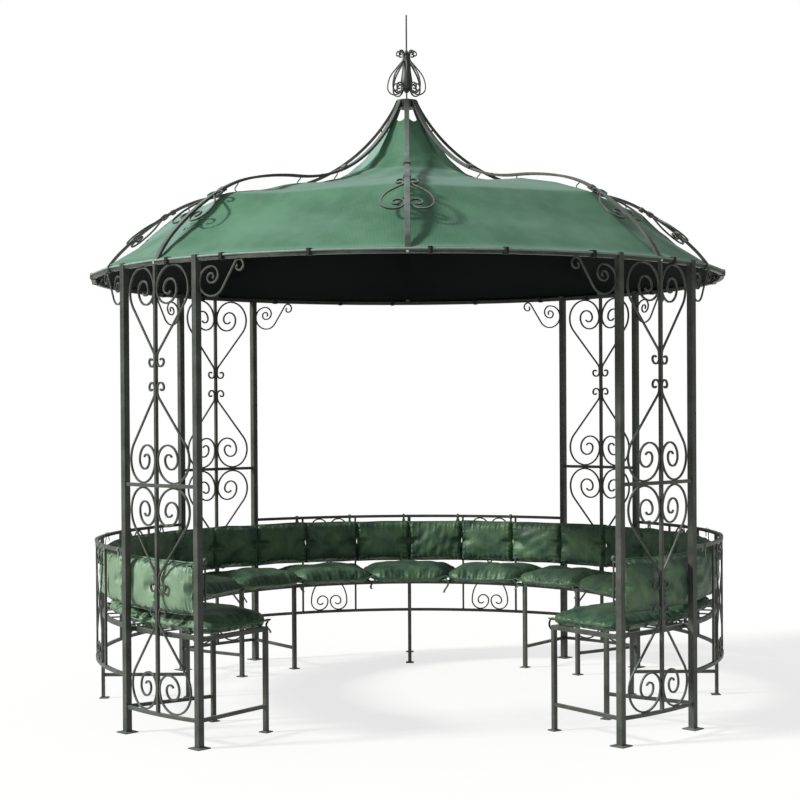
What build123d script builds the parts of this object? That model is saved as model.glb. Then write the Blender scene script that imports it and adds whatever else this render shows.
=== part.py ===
from build123d import *
import os
from math import asin, cos, degrees, radians, sin

os.makedirs("parts", exist_ok=True)

# Round garden gazebo of wrought iron with a ring bench, all sizes in millimetres.
# +Z is up, the origin is at the centre of the plan on the ground, the entrance faces -Y.
# An angle in plan is measured at the centre, from -Y towards +X.

# Plan
POST_CIRCLE = 1600.0
PANEL_ANGLE = 19.4
PANEL_CENTRES = (45.0, 135.0, 225.0, 315.0)
RIB_COUNT = 8

# Posts
POST_SIZE = 30.0
POST_TOP = 2164.0
POST_PLATE = 72.0
PLATE_THICK = 5.0

# Eave ring, which runs between the posts just below their tops
RING_CIRCLE = 1598.0
RING_WIDE = 20.0
RING_TALL = 20.0
RING_TOP = 2157.0

# Scroll panels
PANEL_BAR = 15.0
CROSS_BAR = 16.0
LOW_CROSS_Z = 121.0
MID_CROSS_Z = 1148.0
SCROLL_BAR = 8.0
WELD_BITE = 1.0
PANEL_SPIRAL = (104.0, 66.0, 42.0, 24.0)
PANEL_NECK_BEND = 40.0
PANEL_SHOULDER_BEND = 114.0
PANEL_LEAN = 40.0
PANEL_COLLAR = 58.0
PANEL_CURL = (22.0, 13.0)

# Scroll brackets under the eave, one beside each post
BRACKET_BAR = 7.0
BRACKET_DROP = 153.5
BRACKET_SPIRAL = (65.0, 36.0, 21.0, 12.0)
BRACKET_SWEEP = 70.0
BRACKET_RISE = 58.0
BRACKET_CURL = (24.0, 13.0)

# Roof ribs, given by the middle line of the bar from the eave to the crown
RIB_WIDE = 25.0
RIB_DEEP = 12.0
RIB_FOOT_SLOPE = 117.0
RIB_LINE = (
    (1598.0, 2150.0), (1482.0, 2309.0), (1218.0, 2511.0), (1040.0, 2582.0), (742.0, 2621.0),
    (530.0, 2655.0), (340.0, 2744.0), (164.0, 2900.0), (76.0, 3024.0), (44.0, 3092.0),
)
RIB_HEART_FROM = (1443.0, 2340.0)
RIB_HEART_TO = (1223.0, 2513.0)
HEART_BAR = 7.0
HEART_THICK = 8.0
HEART_HALF_WIDTH = 116.0
HEART_SHOULDER = 58.0
HEART_TOP = 235.0
HEART_SPIRAL = (52.0, 27.0, 15.0)
HEART_BEND = 30.0
HEART_LEAN = 48.0
HEART_CURL = (20.0, 11.0)
HEART_ROOT = 8.0

# Crown and finial
CROWN_WIDE = 100.0
CROWN_TALL = 40.0
CROWN_TOP = 3084.0
FINIAL_TIP = 3525.0
FINIAL_ROD = 8.0
FINIAL_SPINDLE = ((4.0, 3122.0), (30.0, 3166.0), (24.0, 3230.0), (19.0, 3296.0), (4.0, 3346.0))
FINIAL_BAR = 6.0
FINIAL_BARS = 8
FINIAL_WAIST_Z = 3300.0
FINIAL_WAIST = 18.0
FINIAL_WIDEST = 98.0
FINIAL_WIDEST_Z = 3150.0
FINIAL_SPIRAL = (36.0, 22.0, 12.0)
FINIAL_LEAN = 40.0
FINIAL_NECK_BEND = 22.0
FINIAL_TIP_RISE = 22.0
FINIAL_TIP_CURL = (17.0, 8.0)

# Canopy, given by the middle line of the cloth from the vent below the crown down to the slope
CLOTH_THICK = 2.5
CLOTH_LINE = (
    (95.0, 2974.0), (150.0, 2877.0), (214.0, 2784.0), (300.0, 2706.0), (450.0, 2640.0),
    (601.0, 2605.0), (800.0, 2585.0), (998.0, 2556.0), (1114.0, 2525.0), (1203.0, 2494.0), (1569.0, 2172.0),
)
CLOTH_TURN_DOWN = 4.0

# Ring bench
BENCH_BAR = 20.0
SEAT_TOP = 487.0
SEAT_INNER_CIRCLE = 1151.0
SEAT_OUTER_CIRCLE = 1555.0
SLAT_WIDE = 20.0
SLAT_THICK = 5.0
SLAT_STEP = 5.5
LEG_PLATE = 46.0
STRETCHER_BAR = 16.0
STRETCHER_Z = 121.0

# Backrest
RAIL_BAR = 16.0
TOP_RAIL_Z = 838.0
LOW_RAIL_Z = 262.0
UPRIGHT_BAR = 10.0
UPRIGHT_STEP = 12.0
BACK_SCROLL_BAR = 7.0
BACK_SCROLL_SPIRAL = (52.0, 33.0, 19.0)
BACK_SCROLL_ROOT = 8.0
BACK_SCROLL_LEAN = 32.0
BACK_SCROLL_NECK = 30.0
BACK_COLLAR_WIDE = 26.0
BACK_COLLAR_TALL = 22.0

# Cushions
SEAT_PAD_COUNT = 13
SEAT_PAD_INNER = 1112.0
SEAT_PAD_OUTER = 1540.0
SEAT_PAD_TALL = 82.0
BACK_PAD_COUNT = 24
BACK_PAD_BOTTOM = 569.5
BACK_PAD_TALL = 244.0
BACK_PAD_THICK = 95.0
PAD_ROUND = 24.0
PAD_SPACE = 5.0
BACK_PAD_SPACE = 0.6
SEAT_OF_CLOTH = 0.3

# Places that follow from the sizes above
HALF_PANEL = PANEL_ANGLE / 2
POST_ANGLES = sorted(c + s * HALF_PANEL for c in PANEL_CENTRES for s in (-1, 1))
RING_UNDERSIDE = RING_TOP - RING_TALL
POST_INNER_CORNER = POST_CIRCLE - POST_SIZE / 2 * (cos(radians(HALF_PANEL)) + sin(radians(HALF_PANEL)))
RAIL_CIRCLE = POST_INNER_CORNER + RAIL_BAR / 2
BENCH_START = POST_ANGLES[0]
BENCH_END = POST_ANGLES[-1]
SIDE_CENTRES = {"right": 90.0, "back": 180.0, "left": 270.0}


def place(angle, radius, height=0.0):
    """The point at this plan angle, radius and height."""
    return Vector(radius * sin(radians(angle)), -radius * cos(radians(angle)), height)


def turned(angle, radius, height=0.0, turn=0.0):
    """A location at that point whose X runs along the circle and whose Y points at the centre."""
    return Location(place(angle, radius, height), (0, 0, angle + turn))


def upright_plane(origin, along):
    """A standing plane through the origin, with its X along the given level direction."""
    level = Vector(along.X, along.Y, 0).normalized()
    return Plane(origin=origin, x_dir=level, z_dir=level.cross(Vector(0, 0, 1)))


def radial_plane(angle):
    """A standing plane through the centre, with its X pointing outwards at this plan angle."""
    return upright_plane(Vector(0, 0, 0), place(angle, 1))


def post_turn(angle):
    """How far a post at this angle is turned so that it lies square to its panel."""
    centre = min(PANEL_CENTRES, key=lambda c: abs(c - angle))
    return centre - angle


def chain_of_bends(start, heading, bends):
    """Runs and arcs, each tangent to the one before. A bend is (radius, degrees) or (0, length)."""
    point = Vector(*start)
    direction = Vector(*heading)
    for radius, amount in bends:
        if radius == 0:
            piece = Line(point, point + direction * amount)
        else:
            piece = JernArc(start=point, tangent=direction, radius=radius, arc_size=amount)
        point = piece @ 1
        direction = piece % 1


def reach_run(across, bend_sum, lean):
    """The straight length that makes two opposite bends of this lean reach this far across."""
    return (across - bend_sum * (1 - cos(radians(lean)))) / sin(radians(lean))


def reach_bend(across, along, lean):
    """The sum of two opposite bend radii that reach this far across and along."""
    half = radians(lean)
    return (along * sin(half) - across * cos(half)) / (1 - cos(half))


def spiral(radii, side):
    """Half turns of shrinking radius, the last one cut a little short."""
    return [(r, side * 180.0) for r in radii[:-1]] + [(radii[-1], side * 150.0)]


def cut_posts(angles, reach):
    """Cut away the room of the posts, so that what is left ends flat on their faces."""
    for angle in angles:
        with Locations(turned(angle, POST_CIRCLE, POST_TOP / 2, post_turn(angle))):
            Box(POST_SIZE, reach, 2 * POST_TOP, mode=Mode.SUBTRACT)


def curved_bar(angle_from, angle_to, circle, wide, top, tall):
    """A bar of rectangular section that follows a circle around the centre."""
    with BuildSketch(radial_plane(angle_from)) as section:
        with Locations((circle, top - tall / 2)):
            Rectangle(wide, tall)
    revolve(section.sketch, axis=Axis.Z, revolution_arc=angle_to - angle_from)


# Posts, each with its foot plate and its scroll bracket
bracket_across = asin((BRACKET_SWEEP + BRACKET_SPIRAL[0]) / POST_CIRCLE)
for number, angle in enumerate(POST_ANGLES, start=1):
    opening = 1 if post_turn(angle) < 0 else -1
    swing = angle + opening * degrees(bracket_across)
    along = Vector(cos(radians(swing)), sin(radians(swing)), 0) * opening
    bracket_top = RING_UNDERSIDE - BRACKET_BAR / 2
    bracket_bottom = bracket_top - BRACKET_DROP
    bracket_centre = POST_SIZE / 2 + BRACKET_SPIRAL[0] + BRACKET_BAR / 2 - WELD_BITE
    curl_rise = BRACKET_CURL[0] * (1 - cos(radians(BRACKET_RISE)))
    sweep_rise = BRACKET_SWEEP * (1 - cos(radians(BRACKET_RISE)))
    bracket_run = (BRACKET_DROP - curl_rise - sweep_rise) / sin(radians(BRACKET_RISE))
    with BuildPart() as post:
        with Locations(turned(angle, POST_CIRCLE, 0, post_turn(angle))):
            Box(POST_PLATE, POST_PLATE, PLATE_THICK, align=(Align.CENTER, Align.CENTER, Align.MIN))
            Box(POST_SIZE, POST_SIZE, POST_TOP, align=(Align.CENTER, Align.CENTER, Align.MIN))
        with BuildSketch(upright_plane(place(angle, POST_CIRCLE), along)):
            with BuildLine():
                chain_of_bends((bracket_centre, bracket_bottom), (-1, 0), spiral(BRACKET_SPIRAL, -1))
            trace(line_width=BRACKET_BAR)
            with BuildLine():
                chain_of_bends(
                    (bracket_centre, bracket_bottom), (1, 0),
                    [(BRACKET_SWEEP, BRACKET_RISE), (0, bracket_run),
                     (BRACKET_CURL[0], -BRACKET_RISE - 180), (BRACKET_CURL[1], -150)],
                )
            trace(line_width=BRACKET_BAR)
        extrude(amount=BRACKET_BAR / 2, both=True)
    post.part.label = f"post_{number}"
    export_step(post.part, f"parts/post_{number}.step")

# Eave ring, in eight lengths that end on the posts
with BuildPart() as eave_ring:
    with BuildSketch(Plane.XZ):
        with Locations((RING_CIRCLE, RING_TOP - RING_TALL / 2)):
            Rectangle(RING_WIDE, RING_TALL)
    revolve(axis=Axis.Z)
    cut_posts(POST_ANGLES, POST_SIZE)
eave_ring.part.label = "eave_ring"
export_step(eave_ring.part, "parts/eave_ring.step")

# Scroll panels, each with two halves that bend a little at the middle bar
panel_root = PANEL_BAR / 2 + SCROLL_BAR / 2 - WELD_BITE
panel_across = 2 * PANEL_SPIRAL[0]
panel_run = reach_run(panel_across, PANEL_NECK_BEND + PANEL_SHOULDER_BEND, PANEL_LEAN)
panel_rise = (
    (PANEL_NECK_BEND + PANEL_SHOULDER_BEND) * sin(radians(PANEL_LEAN))
    + panel_run * cos(radians(PANEL_LEAN))
)
sections = (
    (LOW_CROSS_Z + CROSS_BAR / 2 - WELD_BITE, MID_CROSS_Z - CROSS_BAR / 2 + WELD_BITE),
    (MID_CROSS_Z + CROSS_BAR / 2 - WELD_BITE, RING_UNDERSIDE - WELD_BITE),
)
for number, centre in enumerate(PANEL_CENTRES, start=1):
    with BuildPart() as panel:
        with Locations(turned(centre, POST_CIRCLE, LOW_CROSS_Z - CROSS_BAR / 2)):
            Box(
                PANEL_BAR, PANEL_BAR, RING_UNDERSIDE - LOW_CROSS_Z + CROSS_BAR / 2,
                align=(Align.CENTER, Align.CENTER, Align.MIN),
            )
        for height in (LOW_CROSS_Z, MID_CROSS_Z):
            curved_bar(
                centre - HALF_PANEL, centre + HALF_PANEL, POST_CIRCLE, CROSS_BAR,
                height + CROSS_BAR / 2, CROSS_BAR,
            )
        for side in (-1, 1):
            middle = place(centre, POST_CIRCLE)
            towards = place(centre + side * HALF_PANEL, POST_CIRCLE) - middle
            with BuildSketch(upright_plane(middle, towards)):
                for bottom, top in sections:
                    mid = (bottom + top) / 2
                    neck = (top - bottom) / 2 - PANEL_SPIRAL[0] - SCROLL_BAR / 2 - panel_rise - PANEL_COLLAR
                    for end in (-1, 1):
                        with BuildLine():
                            chain_of_bends(
                                (panel_root, mid + end * PANEL_COLLAR), (0, end),
                                [(0, neck), (PANEL_NECK_BEND, -end * PANEL_LEAN), (0, panel_run),
                                 (PANEL_SHOULDER_BEND, end * PANEL_LEAN)] + spiral(PANEL_SPIRAL, end),
                            )
                        trace(line_width=SCROLL_BAR)
                        with BuildLine():
                            chain_of_bends(
                                (panel_root, mid + end * PANEL_COLLAR), (0, -end),
                                [(PANEL_CURL[0], end * 180), (PANEL_CURL[1], end * 150)],
                            )
                        trace(line_width=SCROLL_BAR)
            extrude(amount=SCROLL_BAR / 2, both=True)
        cut_posts((centre - HALF_PANEL, centre + HALF_PANEL), 2 * POST_SIZE)
    panel.part.label = f"scroll_panel_{number}"
    export_step(panel.part, f"parts/scroll_panel_{number}.step")

# Roof ribs, flat bars bent to the roof line, each with a heart of scrolls on its slope
heart_up = Vector(RIB_HEART_TO[0] - RIB_HEART_FROM[0], 0, RIB_HEART_TO[1] - RIB_HEART_FROM[1])
heart_across = HEART_HALF_WIDTH - HEART_ROOT
heart_drop = HEART_TOP - HEART_SHOULDER
heart_bends = reach_bend(heart_across, heart_drop, HEART_LEAN)
heart_run = reach_run(heart_across, heart_bends, HEART_LEAN)
for number in range(RIB_COUNT):
    angle = number * 360 / RIB_COUNT
    with BuildPart() as rib:
        with BuildSketch(radial_plane(angle)):
            with BuildLine():
                slope = radians(RIB_FOOT_SLOPE)
                direction = Vector(cos(slope), sin(slope))
                for start, stop in zip(RIB_LINE[:-1], RIB_LINE[1:]):
                    bend = TangentArc(start, stop, tangent=direction)
                    direction = bend % 1
            trace(line_width=RIB_DEEP)
        extrude(amount=RIB_WIDE / 2, both=True)
        outward = place(angle, 1)
        foot = outward * RIB_HEART_FROM[0] + Vector(0, 0, RIB_HEART_FROM[1])
        up_slope = outward * heart_up.X + Vector(0, 0, heart_up.Z)
        across = Vector(cos(radians(angle)), sin(radians(angle)), 0)
        with BuildSketch(Plane(origin=foot, x_dir=across, z_dir=across.cross(up_slope))):
            for side in (-1, 1):
                with BuildLine():
                    chain_of_bends(
                        (side * HEART_ROOT, HEART_TOP), (0, -1),
                        [(HEART_BEND, side * HEART_LEAN), (0, heart_run),
                         (heart_bends - HEART_BEND, -side * HEART_LEAN)] + spiral(HEART_SPIRAL, -side),
                    )
                trace(line_width=HEART_BAR)
                with BuildLine():
                    chain_of_bends(
                        (side * HEART_ROOT, HEART_TOP), (0, 1),
                        [(HEART_CURL[0], -side * 180), (HEART_CURL[1], -side * 150)],
                    )
                trace(line_width=HEART_BAR)
        extrude(amount=HEART_THICK / 2, both=True)
        Box(
            4 * POST_CIRCLE, 4 * POST_CIRCLE, RING_TOP,
            align=(Align.CENTER, Align.CENTER, Align.MIN), mode=Mode.SUBTRACT,
        )
        with BuildSketch(Plane.XY):
            RegularPolygon(CROWN_WIDE / 2, RIB_COUNT, major_radius=False, rotation=180 / RIB_COUNT)
        extrude(amount=2 * CROWN_TOP, mode=Mode.SUBTRACT)
        with Locations((0, 0, CROWN_TOP)):
            Box(
                POST_CIRCLE, POST_CIRCLE, CROWN_TOP,
                align=(Align.CENTER, Align.CENTER, Align.MIN), mode=Mode.SUBTRACT,
            )
    rib.part.label = f"roof_rib_{number + 1}"
    export_step(rib.part, f"parts/roof_rib_{number + 1}.step")

# Crown, the eight-sided head that the ribs end on
with BuildPart() as crown:
    with BuildSketch(Plane.XY.offset(CROWN_TOP - CROWN_TALL)):
        RegularPolygon(CROWN_WIDE / 2, RIB_COUNT, major_radius=False, rotation=180 / RIB_COUNT)
    extrude(amount=CROWN_TALL)
crown.part.label = "crown"
export_step(crown.part, "parts/crown.step")

# Finial, an onion of scroll bars round a spindle, with a long thin tip
finial_across = FINIAL_WIDEST - FINIAL_WAIST
finial_drop = FINIAL_WAIST_Z - FINIAL_WIDEST_Z
finial_bends = reach_bend(finial_across, finial_drop, FINIAL_LEAN)
finial_run = reach_run(finial_across, finial_bends, FINIAL_LEAN)
with BuildPart() as finial:
    with Locations((0, 0, CROWN_TOP)):
        Cylinder(FINIAL_ROD / 2, FINIAL_TIP - CROWN_TOP, align=(Align.CENTER, Align.CENTER, Align.MIN))
    with BuildSketch(Plane.XZ):
        with BuildLine():
            Spline(*FINIAL_SPINDLE)
            Polyline(
                FINIAL_SPINDLE[-1], (0, FINIAL_SPINDLE[-1][1]), (0, FINIAL_SPINDLE[0][1]), FINIAL_SPINDLE[0]
            )
        make_face()
    revolve(axis=Axis.Z)
    for number in range(FINIAL_BARS):
        with BuildSketch(radial_plane(number * 360 / FINIAL_BARS)):
            with BuildLine():
                chain_of_bends(
                    (FINIAL_WAIST, FINIAL_WAIST_Z), (0, -1),
                    [(FINIAL_NECK_BEND, FINIAL_LEAN), (0, finial_run),
                     (finial_bends - FINIAL_NECK_BEND, -FINIAL_LEAN)] + spiral(FINIAL_SPIRAL, -1),
                )
            trace(line_width=FINIAL_BAR)
            with BuildLine():
                chain_of_bends(
                    (FINIAL_WAIST, FINIAL_WAIST_Z), (0, 1),
                    [(0, FINIAL_TIP_RISE), (FINIAL_TIP_CURL[0], -180), (FINIAL_TIP_CURL[1], -150)],
                )
            trace(line_width=FINIAL_BAR)
        extrude(amount=FINIAL_BAR / 2, both=True)
finial.part.label = "finial"
export_step(finial.part, "parts/finial.step")

# Canopy cloth, open at the vent below the crown, with its hem just inside the posts
hem_circle = POST_INNER_CORNER - SEAT_OF_CLOTH - CLOTH_THICK / 2
with BuildPart() as canopy:
    with BuildSketch(Plane.XZ):
        with BuildLine():
            Polyline(*CLOTH_LINE, (hem_circle, RING_TOP - CLOTH_TURN_DOWN), (hem_circle, RING_UNDERSIDE))
        trace(line_width=CLOTH_THICK)
    revolve(axis=Axis.Z)
canopy.part.label = "canopy"
export_step(canopy.part, "parts/canopy.step")

# Backrests of the three closed bays, each with its middle leg and two lyres of scrolls
outer_plate_circle = RING_CIRCLE + RING_WIDE / 2 - LEG_PLATE / 2
lyre_across = 2 * BACK_SCROLL_SPIRAL[0]
lyre_middle = (LOW_RAIL_Z + TOP_RAIL_Z) / 2
lyre_rise = (
    (TOP_RAIL_Z - LOW_RAIL_Z - RAIL_BAR - BACK_SCROLL_BAR) / 2 - BACK_SCROLL_SPIRAL[0] + WELD_BITE
)
lyre_bends = reach_bend(lyre_across, lyre_rise, BACK_SCROLL_LEAN)
lyre_run = reach_run(lyre_across, lyre_bends, BACK_SCROLL_LEAN)
for name, centre in SIDE_CENTRES.items():
    reach = 45 - HALF_PANEL
    with BuildPart() as backrest:
        for height in (LOW_RAIL_Z, TOP_RAIL_Z):
            curved_bar(centre - reach, centre + reach, RAIL_CIRCLE, RAIL_BAR, height + RAIL_BAR / 2, RAIL_BAR)
        for step in (-2, -1, 1, 2):
            with Locations(turned(centre + step * UPRIGHT_STEP, RAIL_CIRCLE, LOW_RAIL_Z)):
                Box(
                    UPRIGHT_BAR, UPRIGHT_BAR, TOP_RAIL_Z - LOW_RAIL_Z,
                    align=(Align.CENTER, Align.CENTER, Align.MIN),
                )
        for step in (-1.5, 1.5):
            angle = centre + step * UPRIGHT_STEP
            across = Vector(cos(radians(angle)), sin(radians(angle)), 0)
            with BuildSketch(upright_plane(place(angle, RAIL_CIRCLE), across)):
                with Locations((0, lyre_middle)):
                    Rectangle(BACK_COLLAR_WIDE, BACK_COLLAR_TALL)
                for side in (-1, 1):
                    for end in (-1, 1):
                        with BuildLine():
                            chain_of_bends(
                                (side * BACK_SCROLL_ROOT, lyre_middle), (0, end),
                                [(BACK_SCROLL_NECK, -side * end * BACK_SCROLL_LEAN), (0, lyre_run),
                                 (lyre_bends - BACK_SCROLL_NECK, side * end * BACK_SCROLL_LEAN)]
                                + spiral(BACK_SCROLL_SPIRAL, side * end),
                            )
                        trace(line_width=BACK_SCROLL_BAR)
            extrude(amount=BACK_SCROLL_BAR / 2, both=True)
        with Locations(turned(centre, RAIL_CIRCLE)):
            Box(BENCH_BAR, RAIL_BAR, TOP_RAIL_Z, align=(Align.CENTER, Align.CENTER, Align.MIN))
        with Locations(turned(centre, outer_plate_circle)):
            Box(LEG_PLATE, LEG_PLATE, PLATE_THICK, align=(Align.CENTER, Align.CENTER, Align.MIN))
        cut_posts((centre - reach, centre + reach), 2 * POST_SIZE)
    backrest.part.label = f"backrest_{name}"
    export_step(backrest.part, f"parts/backrest_{name}.step")

# Seat frames of flat slats between two curved rails, in three lengths
leg_angles = sorted(POST_ANGLES + list(SIDE_CENTRES.values()))
seat_spans = {
    "right": (BENCH_START, POST_ANGLES[3]),
    "back": (POST_ANGLES[3], POST_ANGLES[4]),
    "left": (POST_ANGLES[4], BENCH_END),
}


def seat_bars(angles, mode=Mode.ADD):
    """Square bars from the inner seat rail out to the post or the outer leg."""
    inner = SEAT_INNER_CIRCLE - BENCH_BAR / 2
    for angle in angles:
        with Locations(turned(angle, (inner + RAIL_CIRCLE) / 2, SEAT_TOP - BENCH_BAR)):
            Box(
                BENCH_BAR, RAIL_CIRCLE - inner, BENCH_BAR,
                align=(Align.CENTER, Align.CENTER, Align.MIN), mode=mode,
            )


def cut_outer_legs():
    """Cut away the room of the three outer legs."""
    for angle in SIDE_CENTRES.values():
        with Locations(turned(angle, RAIL_CIRCLE)):
            Box(2 * BENCH_BAR, RAIL_BAR, 2 * SEAT_TOP, mode=Mode.SUBTRACT)


for name, (start, stop) in seat_spans.items():
    with BuildPart() as seat:
        for circle in (SEAT_INNER_CIRCLE, SEAT_OUTER_CIRCLE):
            curved_bar(start, stop, circle, BENCH_BAR, SEAT_TOP, BENCH_BAR)
        slats = int((stop - start) / SLAT_STEP)
        for slat in range(1, slats):
            angle = start + (stop - start) * slat / slats
            with Locations(turned(angle, (SEAT_INNER_CIRCLE + SEAT_OUTER_CIRCLE) / 2, SEAT_TOP)):
                Box(
                    SLAT_WIDE, SEAT_OUTER_CIRCLE - SEAT_INNER_CIRCLE, SLAT_THICK,
                    align=(Align.CENTER, Align.CENTER, Align.MAX),
                )
        seat_bars([a for a in leg_angles if start < a < stop])
        if name == "back":
            seat_bars((start, stop), mode=Mode.SUBTRACT)
        else:
            seat_bars((start, stop))
        cut_posts(POST_ANGLES, POST_SIZE)
        cut_outer_legs()
    seat.part.label = f"seat_frame_{name}"
    export_step(seat.part, f"parts/seat_frame_{name}.step")

# Inner legs, each with a foot plate and a stretcher out to its post or outer leg
for number, angle in enumerate(leg_angles, start=1):
    with BuildPart() as leg:
        with Locations(turned(angle, SEAT_INNER_CIRCLE)):
            Box(LEG_PLATE, LEG_PLATE, PLATE_THICK, align=(Align.CENTER, Align.CENTER, Align.MIN))
            Box(BENCH_BAR, BENCH_BAR, SEAT_TOP - BENCH_BAR, align=(Align.CENTER, Align.CENTER, Align.MIN))
        with Locations(turned(angle, (SEAT_INNER_CIRCLE + RAIL_CIRCLE) / 2, STRETCHER_Z)):
            Box(STRETCHER_BAR, RAIL_CIRCLE - SEAT_INNER_CIRCLE, STRETCHER_BAR)
        cut_posts(POST_ANGLES, POST_SIZE)
        cut_outer_legs()
    leg.part.label = f"seat_leg_{number}"
    export_step(leg.part, f"parts/seat_leg_{number}.step")

# Seat cushions, one shape that is turned from place to place round the bench
seat_pad_step = (BENCH_END - BENCH_START) / SEAT_PAD_COUNT
with BuildPart() as seat_cushions:
    for pad in range(SEAT_PAD_COUNT):
        middle = BENCH_START + (pad + 0.5) * seat_pad_step
        half = radians(seat_pad_step / 2)
        with BuildSketch(Plane(turned(middle, 0, SEAT_TOP))) as outline:
            with BuildLine():
                corners = [
                    (side * (radius * sin(half) - PAD_SPACE / 2), -radius * cos(half))
                    for side, radius in (
                        (-1, SEAT_PAD_INNER), (1, SEAT_PAD_INNER), (1, SEAT_PAD_OUTER), (-1, SEAT_PAD_OUTER),
                    )
                ]
                Polyline(*corners, close=True)
            make_face()
            fillet(outline.vertices(), radius=PAD_ROUND)
        extrude(amount=SEAT_PAD_TALL)
seat_cushions.part.label = "seat_cushions"
export_step(seat_cushions.part, "parts/seat_cushions.step")

# Back cushions, curved pads tied up inside the back rail and the posts
back_pad_step = (BENCH_END - BENCH_START) / BACK_PAD_COUNT
back_pad_outer = POST_INNER_CORNER - SEAT_OF_CLOTH
back_pad_space = degrees(BACK_PAD_SPACE / back_pad_outer)
with BuildPart() as back_cushions:
    for pad in range(BACK_PAD_COUNT):
        start = BENCH_START + pad * back_pad_step + back_pad_space / 2
        curved_bar(
            start, start + back_pad_step - back_pad_space, back_pad_outer - BACK_PAD_THICK / 2,
            BACK_PAD_THICK, BACK_PAD_BOTTOM + BACK_PAD_TALL, BACK_PAD_TALL,
        )
back_cushions.part.label = "back_cushions"
export_step(back_cushions.part, "parts/back_cushions.step")
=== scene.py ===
import math

import bpy
import numpy as np
from mathutils import Matrix


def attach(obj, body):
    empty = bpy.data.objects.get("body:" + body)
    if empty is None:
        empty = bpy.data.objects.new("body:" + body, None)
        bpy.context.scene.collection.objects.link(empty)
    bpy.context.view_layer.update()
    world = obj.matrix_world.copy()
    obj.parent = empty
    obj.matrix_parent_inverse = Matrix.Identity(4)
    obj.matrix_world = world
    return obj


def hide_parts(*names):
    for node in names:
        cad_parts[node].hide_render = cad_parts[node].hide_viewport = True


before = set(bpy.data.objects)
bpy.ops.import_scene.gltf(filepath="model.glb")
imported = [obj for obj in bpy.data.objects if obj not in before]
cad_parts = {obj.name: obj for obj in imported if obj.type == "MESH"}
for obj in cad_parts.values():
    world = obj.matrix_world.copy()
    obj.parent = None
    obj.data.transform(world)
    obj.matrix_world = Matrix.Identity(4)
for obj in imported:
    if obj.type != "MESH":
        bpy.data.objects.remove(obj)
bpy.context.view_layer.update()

# Camera. The garden gazebo is seen from 8.4 m in front of its open bay, at chest height,
# with a long lens and a hair of tilt, as in the photograph.
camera_place = (0.0, -8.4136, 1.4536)
camera_tilt = math.radians(90) - 0.0095
camera_roll = -0.0057
camera = bpy.data.objects.new("camera", bpy.data.cameras.new("camera"))
bpy.context.collection.objects.link(camera)
camera.data.sensor_width = 36.0
camera.data.lens = 73.1
camera.data.shift_x = -0.0107
camera.data.shift_y = 0.0393
camera.matrix_world = (
    Matrix.Translation(camera_place)
    @ Matrix.Rotation(camera_tilt, 4, "X")
    @ Matrix.Rotation(camera_roll, 4, "Z")
)
bpy.context.scene.camera = camera
bpy.context.scene.view_settings.view_transform = "Standard"


# Floor and light. A pale matt studio floor, one broad soft lamp from the left and an even
# white room. The floor and the room are white to the camera, and the floor keeps the shadow.
def linear(code):
    """An sRGB hex colour such as 3f5a48, turned to linear light with the sRGB curve, and opaque."""
    parts = np.array([int(code[i:i + 2], 16) for i in (0, 2, 4)]) / 255.0
    light = np.where(parts <= 0.04045, parts / 12.92, ((parts + 0.055) / 1.055) ** 2.4)
    return (*(float(c) for c in light), 1.0)


def add(tree, kind, settings=None, **links):
    """Adds one shader node. Settings are its own properties.

    A link names an input, or has its number after an underscore, and holds a value or a node's socket.
    """
    node = tree.nodes.new(kind)
    for name, value in (settings or {}).items():
        setattr(node, name, value)
    for name, value in links.items():
        key = int(name[1:]) if name[1:].isdigit() else name.replace("_", " ")
        socket = node.inputs[key]
        if isinstance(value, bpy.types.NodeSocket):
            tree.links.new(value, socket)
        else:
            socket.default_value = value
    return node


def new_material(name):
    """An empty node material and its tree."""
    material = bpy.data.materials.new(name)
    material.use_nodes = True
    material.node_tree.nodes.clear()
    return material, material.node_tree


def put(name, points, faces, material, smooth=True):
    """A mesh object at the origin from an array of points and the faces that join them."""
    mesh = bpy.data.meshes.new(name)
    mesh.from_pydata(np.reshape(points, (-1, 3)).tolist(), [], [list(map(int, face)) for face in faces])
    mesh.polygons.foreach_set("use_smooth", [smooth] * len(mesh.polygons))
    mesh.materials.append(material)
    piece = bpy.data.objects.new(name, mesh)
    bpy.context.collection.objects.link(piece)
    return piece


floor_paint, tree = new_material("matt_floor_paint")
path = add(tree, "ShaderNodeLightPath")
seen = add(tree, "ShaderNodeMath", {"operation": "MAXIMUM"},
           _0=path.outputs["Is Camera Ray"], _1=path.outputs["Is Glossy Ray"])
grain = add(tree, "ShaderNodeTexNoise", Scale=3.0, Detail=3.0, Vector=add(
    tree, "ShaderNodeTexCoord").outputs["Object"])
tint = add(tree, "ShaderNodeMix", {"data_type": "RGBA"}, _0=grain.outputs["Fac"],
           _6=linear("9c9c9a"), _7=linear("a0a09e"))
matt = add(tree, "ShaderNodeBsdfDiffuse", Color=tint.outputs[2])
glow = add(tree, "ShaderNodeEmission", Color=linear("ffffff"), Strength=0.74)
both = add(tree, "ShaderNodeAddShader", _0=matt.outputs[0], _1=glow.outputs[0])
mixed = add(tree, "ShaderNodeMixShader", _0=seen.outputs[0], _1=matt.outputs[0], _2=both.outputs[0])
add(tree, "ShaderNodeOutputMaterial", Surface=mixed.outputs[0])
floor_half = 60.0
floor_corners = floor_half * np.array([(-1, -1, 0), (1, -1, 0), (1, 1, 0), (-1, 1, 0)])
floor = put("floor", floor_corners, [(0, 1, 2, 3)], floor_paint, smooth=False)

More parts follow.
